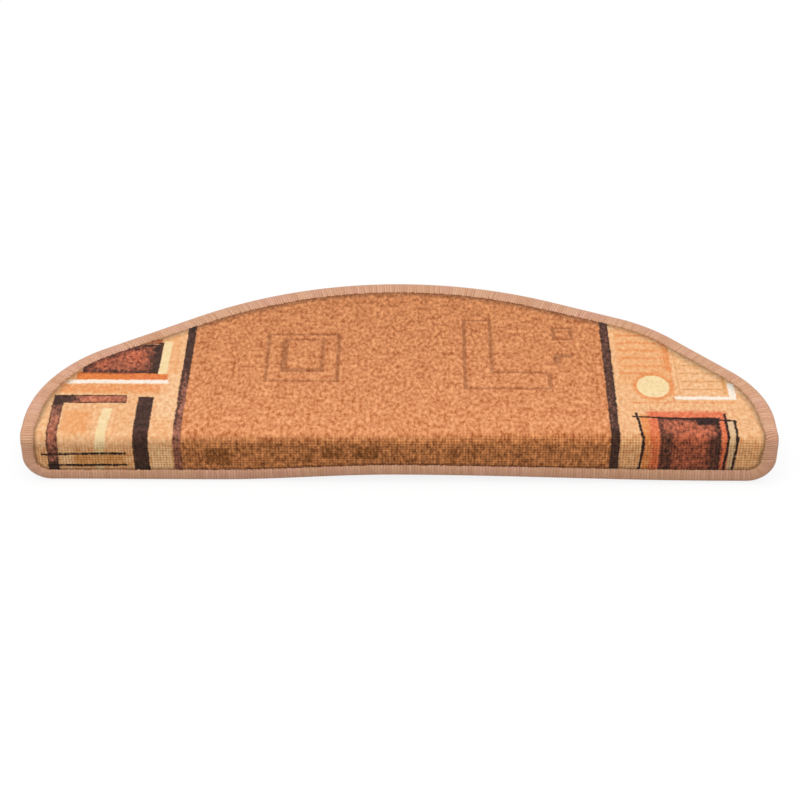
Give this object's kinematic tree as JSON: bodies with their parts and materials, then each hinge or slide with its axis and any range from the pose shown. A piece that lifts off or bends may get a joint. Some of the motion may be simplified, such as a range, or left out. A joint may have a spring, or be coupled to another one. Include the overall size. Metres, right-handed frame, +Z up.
{
  "type": "anti slip stair tread mat",
  "caption": "Half-round carpet mat for one stair tread, bound all round, with its front edge folded down over the nose of the step.",
  "frame": {"origin": "middle of the tread's underside, the flat face that lies on the step", "axes": "+X across the step, +Y from the nosing back to the riser, +Z up from the tread"},
  "size_m": [0.65, 0.2405, 0.0505],
  "materials": {
    "printed_pile": "matt, dense printed pile on a bonded anti slip backing",
    "binding_yarn": "soft sheen, whipped yarn"
  },
  "bodies": {
    "root": {"carpet": "printed_pile", "edge_binding": "binding_yarn"}
  },
  "joints": []
}
